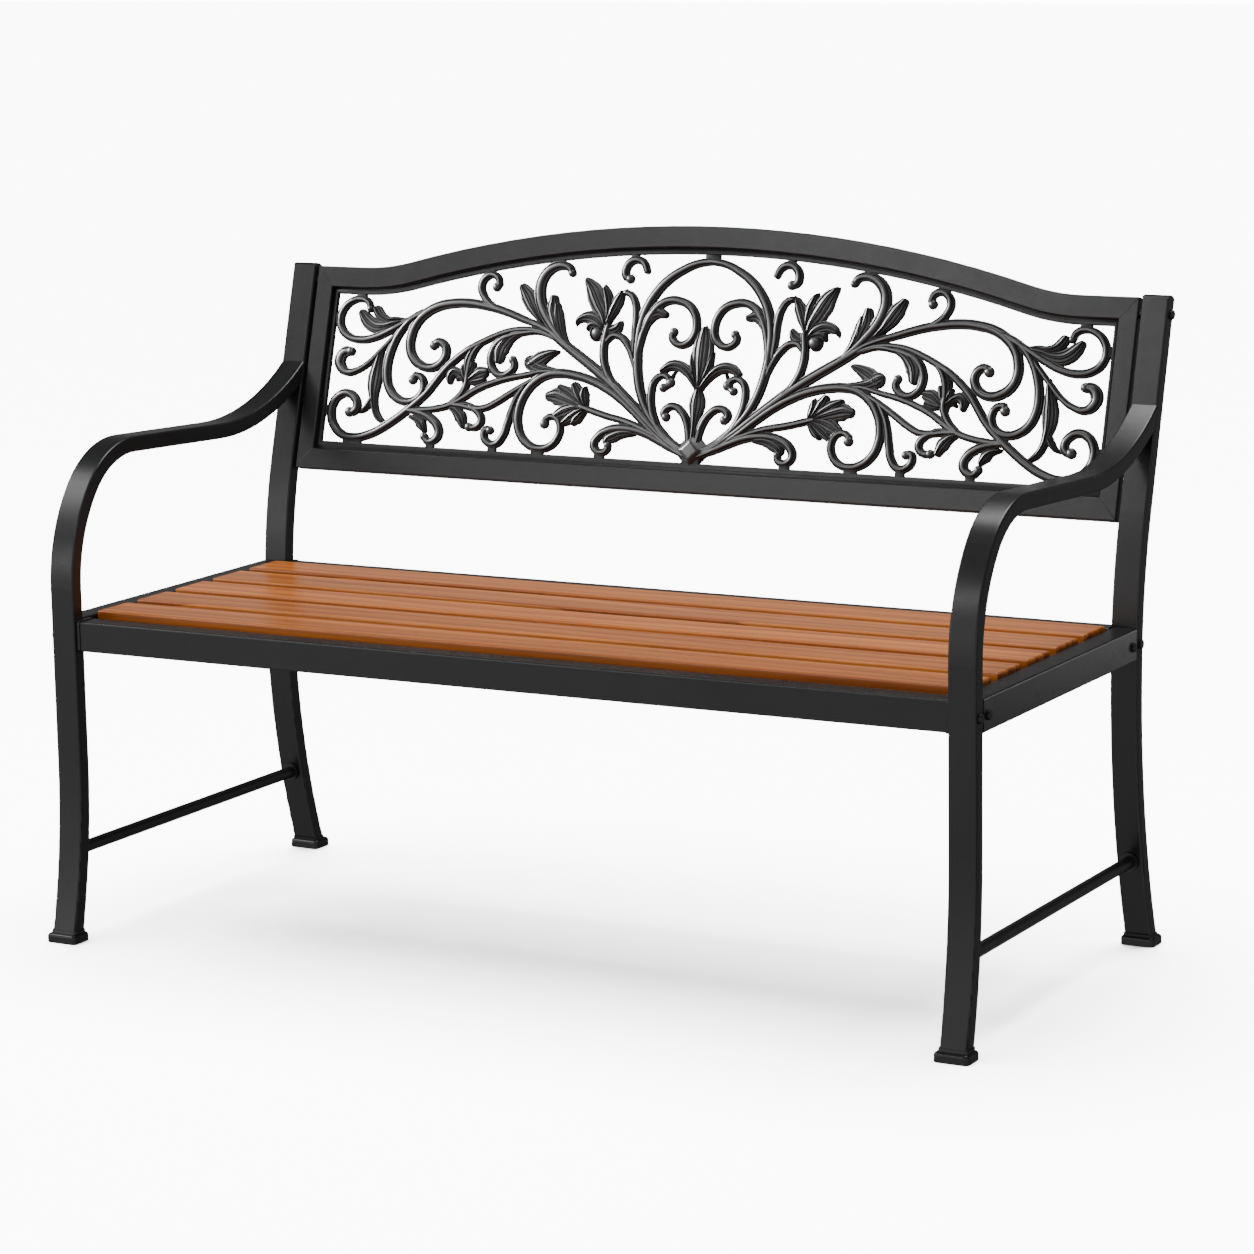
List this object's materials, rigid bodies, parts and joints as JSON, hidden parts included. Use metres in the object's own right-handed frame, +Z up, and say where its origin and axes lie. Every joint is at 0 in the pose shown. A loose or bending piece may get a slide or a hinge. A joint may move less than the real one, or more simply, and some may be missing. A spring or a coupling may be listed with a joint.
{
  "type": "garden bench",
  "caption": "Slatted wooden garden bench on bent steel tube side frames with armrests and a leaning arched back frame round a pierced cast scroll panel.",
  "frame": {"origin": "centre of the footprint on the floor", "axes": "+X along the seat to the sitter's left, seen at the right from the front; +Y to the back; +Z up"},
  "size_m": [1.28, 0.6545, 0.8735],
  "materials": {
    "black_tube": "satin black powder coat",
    "black_frame": "satin black powder coat",
    "black_rod": "gloss black paint",
    "cast_iron_black": "black painted casting",
    "hardwood": "reddish brown stained and oiled hardwood",
    "black_plastic": "gloss black moulded plastic",
    "black_fasteners": "black coated steel"
  },
  "bodies": {
    "root": {"back_bottom_rail": "black_frame", "back_frame_bolts": "black_fasteners", "back_frame_nuts": "black_fasteners", "back_frame_spacers": "black_frame", "back_frame_tabs": "black_frame", "back_left_stile": "black_frame", "back_right_stile": "black_frame", "back_top_rail": "black_frame", "centre_seat_support": "black_tube", "front_left_bracket": "black_tube", "front_left_foot_cap": "black_plastic", "front_rail_left_plate": "black_tube", "front_rail_right_plate": "black_tube", "front_right_bracket": "black_tube", "front_right_foot_cap": "black_plastic", "front_seat_rail": "black_tube", "left_arm_leg": "black_tube", "left_back_post": "black_tube", "left_post_cap": "black_plastic", "left_rod_collar": "black_rod", "left_seat_rail": "black_tube", "left_slat_ledge": "black_tube", "left_stretcher_rod": "black_rod", "rear_left_bracket": "black_tube", "rear_left_foot_cap": "black_plastic", "rear_rail_left_plate": "black_tube", "rear_rail_right_plate": "black_tube", "rear_right_bracket": "black_tube", "rear_right_foot_cap": "black_plastic", "rear_seat_rail": "black_tube", "right_arm_leg": "black_tube", "right_back_post": "black_tube", "right_post_cap": "black_plastic", "right_rod_collar": "black_rod", "right_seat_rail": "black_tube", "right_slat_ledge": "black_tube", "right_stretcher_rod": "black_rod", "scroll_panel": "cast_iron_black", "seat_frame_bolts": "black_fasteners", "seat_slat_1": "hardwood", "seat_slat_2": "hardwood", "seat_slat_3": "hardwood", "seat_slat_4": "hardwood", "seat_slat_5": "hardwood", "side_rail_bolts": "black_fasteners", "side_rail_nuts": "black_fasteners", "slat_screws": "black_fasteners", "stretcher_bolts": "black_fasteners"}
  },
  "joints": []
}
